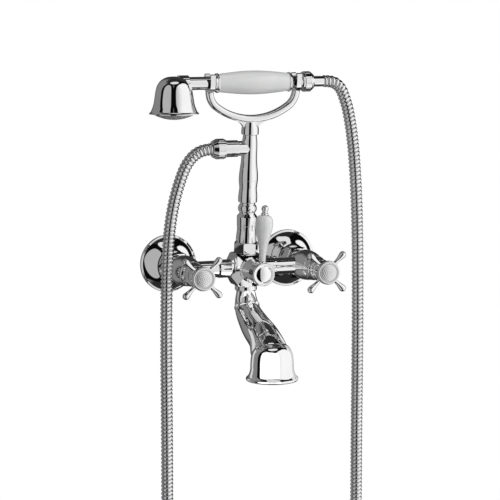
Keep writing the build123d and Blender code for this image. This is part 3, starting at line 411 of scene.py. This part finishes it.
def area_lamp(name, place, aim, width, height, power):
    """A flat soft lamp that the camera doesn't see."""
    data = bpy.data.lights.new(name, "AREA")
    data.shape = "RECTANGLE"
    data.size = width
    data.size_y = height
    data.energy = power
    lamp = bpy.data.objects.new(name, data)
    bpy.context.scene.collection.objects.link(lamp)
    lamp.location = place
    lamp.rotation_mode = "QUATERNION"
    lamp.rotation_quaternion = (Vector(aim) - Vector(place)).to_track_quat("-Z", "Y")
    lamp.visible_camera = False
    return lamp


def soft_light(name, place, aim, size, power):
    """A large soft lamp that mirrors don't show."""
    lamp = area_lamp(name, place, aim, size, size, power)
    lamp.visible_glossy = False


def make_bell_cards():
    """Cards close to the spout's bell, which light nothing but the spout."""
    lit = bpy.data.collections.new("lit_by_bell_cards")
    lit.objects.link(frame["nodes"]["spout"])
    low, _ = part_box("spout")
    middle = Vector((0.0, low.y + CARD_INSET, low.z + CARD_RISE))
    for turn, width, height, brightness in CARDS:
        azimuth = CAMERA_AZIMUTH + math.radians(turn)
        away = Vector((math.sin(azimuth), -math.cos(azimuth), 0.0))
        power = brightness * math.pi * width * height
        lamp = area_lamp(
            "bell_card", middle + away * CARD_DISTANCE, middle, width, height, power)
        lamp.light_linking.receiver_collection = lit


def make_floor():
    """A pale round floor under the hanging hose, fading out towards its rim."""
    level = cad_low.z - FLOOR_DROP
    corners = []
    for i in range(FLOOR_STEPS):
        angle = 2 * math.pi * i / FLOOR_STEPS
        corners.append((
            FLOOR_RADIUS * math.cos(angle), FLOOR_RADIUS * math.sin(angle), level))
    floor = mesh_object("floor", corners, [tuple(range(FLOOR_STEPS))], smooth=False)
    material = bpy.data.materials.new("pale_floor")
    material.use_nodes = True
    graph = Graph(material.node_tree)
    place = graph.place()
    flat = graph.add("VectorMath", {0: place, 1: (1, 1, 0)}, operation="MULTIPLY")
    distance = graph.add("VectorMath", {0: flat.outputs[0]}, operation="LENGTH")
    matt = graph.add("BsdfDiffuse", {"Color": grey(FLOOR_GREY)})
    glow = graph.add("Emission", {"Color": (1, 1, 1, 1), "Strength": FLOOR_GLOW})
    solid = graph.add("AddShader", {0: matt.outputs[0], 1: glow.outputs[0]})
    gone = graph.add("BsdfTransparent")
    fade = graph.ramp(
        distance.outputs["Value"], FLOOR_SOLID, FLOOR_GONE * FLOOR_RADIUS)
    shown = graph.add("MixShader", {0: fade, 1: solid.outputs[0], 2: gone.outputs[0]})
    graph.add("OutputMaterial", {"Surface": shown.outputs[0]})
    floor.data.materials.append(material)
    floor.visible_glossy = False


# ---------------------------------------------------------------- materials
# Depths of the bumps at full strength, in metres.
WAVE_DEPTH = 0.001
RING_DEPTH = 0.0003
GRAIN_DEPTH = 0.0002
FINE_GRAIN_DEPTH = 0.0001
# How much rougher the roughest spots are than the smoothest.
CHROME_WEAR = 0.025
METAL_WEAR = 0.15
MOULDED_WEAR = 0.12
FILM_DARKENING = 0.05      # how much darker chrome is under its film
MOULDED_GRAIN = 1500.0     # noise scale of moulded surfaces
RING_PITCH = 0.0019        # from one turned ring of a handle cap to the next
RING_MARKS = 0.25          # share of fine tool marks in its rings
SPECK_SHARE = 0.35         # how strongly the glaze's specks show
INLET_OFFSET = 0.075       # hot and cold sides, left and right of the middle


def principled(name, **constants):
    """A material with a Principled shader whose plain values sit on its own sockets."""
    material = bpy.data.materials.new(name)
    material.use_nodes = True
    graph = Graph(material.node_tree)
    shader = graph.add("BsdfPrincipled")
    for socket, value in constants.items():
        shader.inputs[socket.replace("_", " ")].default_value = value
    graph.add("OutputMaterial", {"Surface": shader.outputs[0]})
    return material, graph, shader


def polished_chrome(name, bright=0.94, rough=0.02, waviness=0.012):
    """Mirror chrome with faint polishing waves and a thin uneven film."""
    material, graph, shader = principled(name, Metallic=1.0)
    place = graph.place()
    film = graph.noise(38.0, 5.0, place)
    graph.put(shader, "Base Color", graph.colours(
        graph.ramp(film, 0.35, 0.7), grey(bright), grey(bright - FILM_DARKENING)))
    wear = graph.noise(310.0, 3.0, place)
    graph.put(shader, "Roughness", graph.ramp(
        wear, 0.3, 0.75, rough, rough + CHROME_WEAR))
    waves = graph.noise(90.0, 2.0, place)
    bump = graph.add(
        "Bump", {"Strength": waviness, "Distance": WAVE_DEPTH, "Height": waves})
    graph.put(shader, "Normal", bump.outputs[0])
    return material


def turned_satin(name, centre_x):
    """Satin chrome with turned rings and fine tool marks round the cap's axis."""
    material, graph, shader = principled(name, Metallic=1.0)
    place = graph.place()
    parts = graph.add("SeparateXYZ", {"Vector": place})
    side = graph.math("SUBTRACT", parts.outputs[0], centre_x)
    flat = graph.add("CombineXYZ", {"X": side, "Z": parts.outputs[2]})
    radius = graph.add("VectorMath", {0: flat.outputs[0]}, operation="LENGTH")
    marks = graph.noise(900.0, 3.0, graph.add(
        "CombineXYZ", {"X": radius.outputs["Value"]}).outputs[0])
    rings = graph.math("SINE", graph.math(
        "MULTIPLY", radius.outputs["Value"], 2 * math.pi / RING_PITCH))
    mixed = graph.mix(
        RING_MARKS, graph.ramp(rings, -0.6, 0.9), graph.ramp(marks, 0.35, 0.65))
    graph.put(shader, "Base Color", graph.colours(mixed, grey(0.95), grey(0.55)))
    graph.put(shader, "Roughness", graph.ramp(marks, 0.3, 0.7, 0.22, 0.34))
    bump = graph.add(
        "Bump", {"Strength": 0.4, "Distance": RING_DEPTH, "Height": mixed})
    graph.put(shader, "Normal", bump.outputs[0])
    return material


def glazed_porcelain(name):
    """White glaze: a hint of depth, faint ripples and a few pale specks."""
    material, graph, shader = principled(
        name, IOR=1.5, Coat_Weight=0.35, Coat_Roughness=0.04)
    place = graph.place()
    body = graph.noise(60.0, 4.0, place)
    specks = graph.ramp(graph.noise(900.0, 1.0, place), 0.70, 0.78)
    white = graph.colours(
        graph.ramp(body, 0.3, 0.7), (0.90, 0.90, 0.89, 1), (0.85, 0.855, 0.86, 1))
    graph.put(shader, "Base Color", graph.colours(
        graph.math("MULTIPLY", specks, SPECK_SHARE), white, (0.72, 0.72, 0.70, 1)))
    graph.put(shader, "Roughness", graph.ramp(body, 0.3, 0.8, 0.09, 0.17))
    ripples = graph.noise(140.0, 2.0, place)
    bump = graph.add(
        "Bump", {"Strength": 0.03, "Distance": WAVE_DEPTH, "Height": ripples})
    graph.put(shader, "Normal", bump.outputs[0])
    return material


def cast_metal(name, colour, darker, rough, grain):
    """Machined or cast metal with a visible grain."""
    material, graph, shader = principled(name, Metallic=1.0)
    place = graph.place()
    patches = graph.noise(120.0, 4.0, place)
    graph.put(shader, "Base Color", graph.colours(
        graph.ramp(patches, 0.3, 0.7), colour, darker))
    fine = graph.noise(grain, 3.0, place)
    graph.put(shader, "Roughness", graph.ramp(
        fine, 0.3, 0.7, rough, rough + METAL_WEAR))
    bump = graph.add(
        "Bump", {"Strength": 0.15, "Distance": GRAIN_DEPTH, "Height": fine})
    graph.put(shader, "Normal", bump.outputs[0])
    return material


def moulded(name, colour, darker, rough):
    """Moulded plastic or rubber with a fine matt texture."""
    material, graph, shader = principled(name)
    place = graph.place()
    patches = graph.noise(80.0, 3.0, place)
    graph.put(shader, "Base Color", graph.colours(
        graph.ramp(patches, 0.3, 0.7), colour, darker))
    fine = graph.noise(MOULDED_GRAIN, 2.0, place)
    graph.put(shader, "Roughness", graph.ramp(
        fine, 0.3, 0.7, rough, rough + MOULDED_WEAR))
    bump = graph.add(
        "Bump", {"Strength": 0.2, "Distance": FINE_GRAIN_DEPTH, "Height": fine})
    graph.put(shader, "Normal", bump.outputs[0])
    return material


make_camera()
make_world()
materials = {
    "chrome": polished_chrome("polished_chrome"),
    "hose_metal": polished_chrome("hose_chrome", 0.88, 0.03, 0.015),
    "brass": cast_metal(
        "turned_brass", (0.78, 0.57, 0.27, 1), (0.66, 0.46, 0.20, 1), 0.22, 700.0),
    "steel": cast_metal("bright_steel", grey(0.62), grey(0.52), 0.22, 900.0),
    "spray_plate": cast_metal("spray_plate", grey(0.93), grey(0.85), 0.50, 1200.0),
    "porcelain": glazed_porcelain("glazed_porcelain"),
    "disc_ceramic": moulded("disc_ceramic", grey(0.80), grey(0.72), 0.25),
    "white_plastic": moulded("white_plastic", grey(0.78), grey(0.72), 0.35),
    "rubber": moulded("black_rubber", grey(0.025), grey(0.045), 0.55),
    "satin_hot": turned_satin("turned_satin_hot", -INLET_OFFSET),
    "satin_cold": turned_satin("turned_satin_cold", INLET_OFFSET),
}
# Dark grey metal, painted as shade at the bottom of the hose's groove.
make_hose(materials["hose_metal"], cast_metal(
    "hose_groove_painted_shade", grey(0.26), grey(0.18), 0.40, 900.0))

# ---------------------------------------------------------------- CAD nodes
# Each keeps its solid and gets its slot's material; the two caps have one each, because
# their rings are turned about different axes.
slot_of = {s["node"]: s["material_slot"] for s in frame["record"]["subparts"]}
for node, part in frame["nodes"].items():
    slot = slot_of[node]
    if slot == "satin_chrome":
        slot = "satin_hot" if node.endswith("hot") else "satin_cold"
    part.data.materials.clear()
    part.data.materials.append(materials[slot])

for name, place, size, power in SOFT_LIGHTS:
    soft_light(name, place, MIXER_MIDDLE, size, power)
make_bell_cards()
make_floor()
bpy.context.scene.view_settings.view_transform = "Standard"
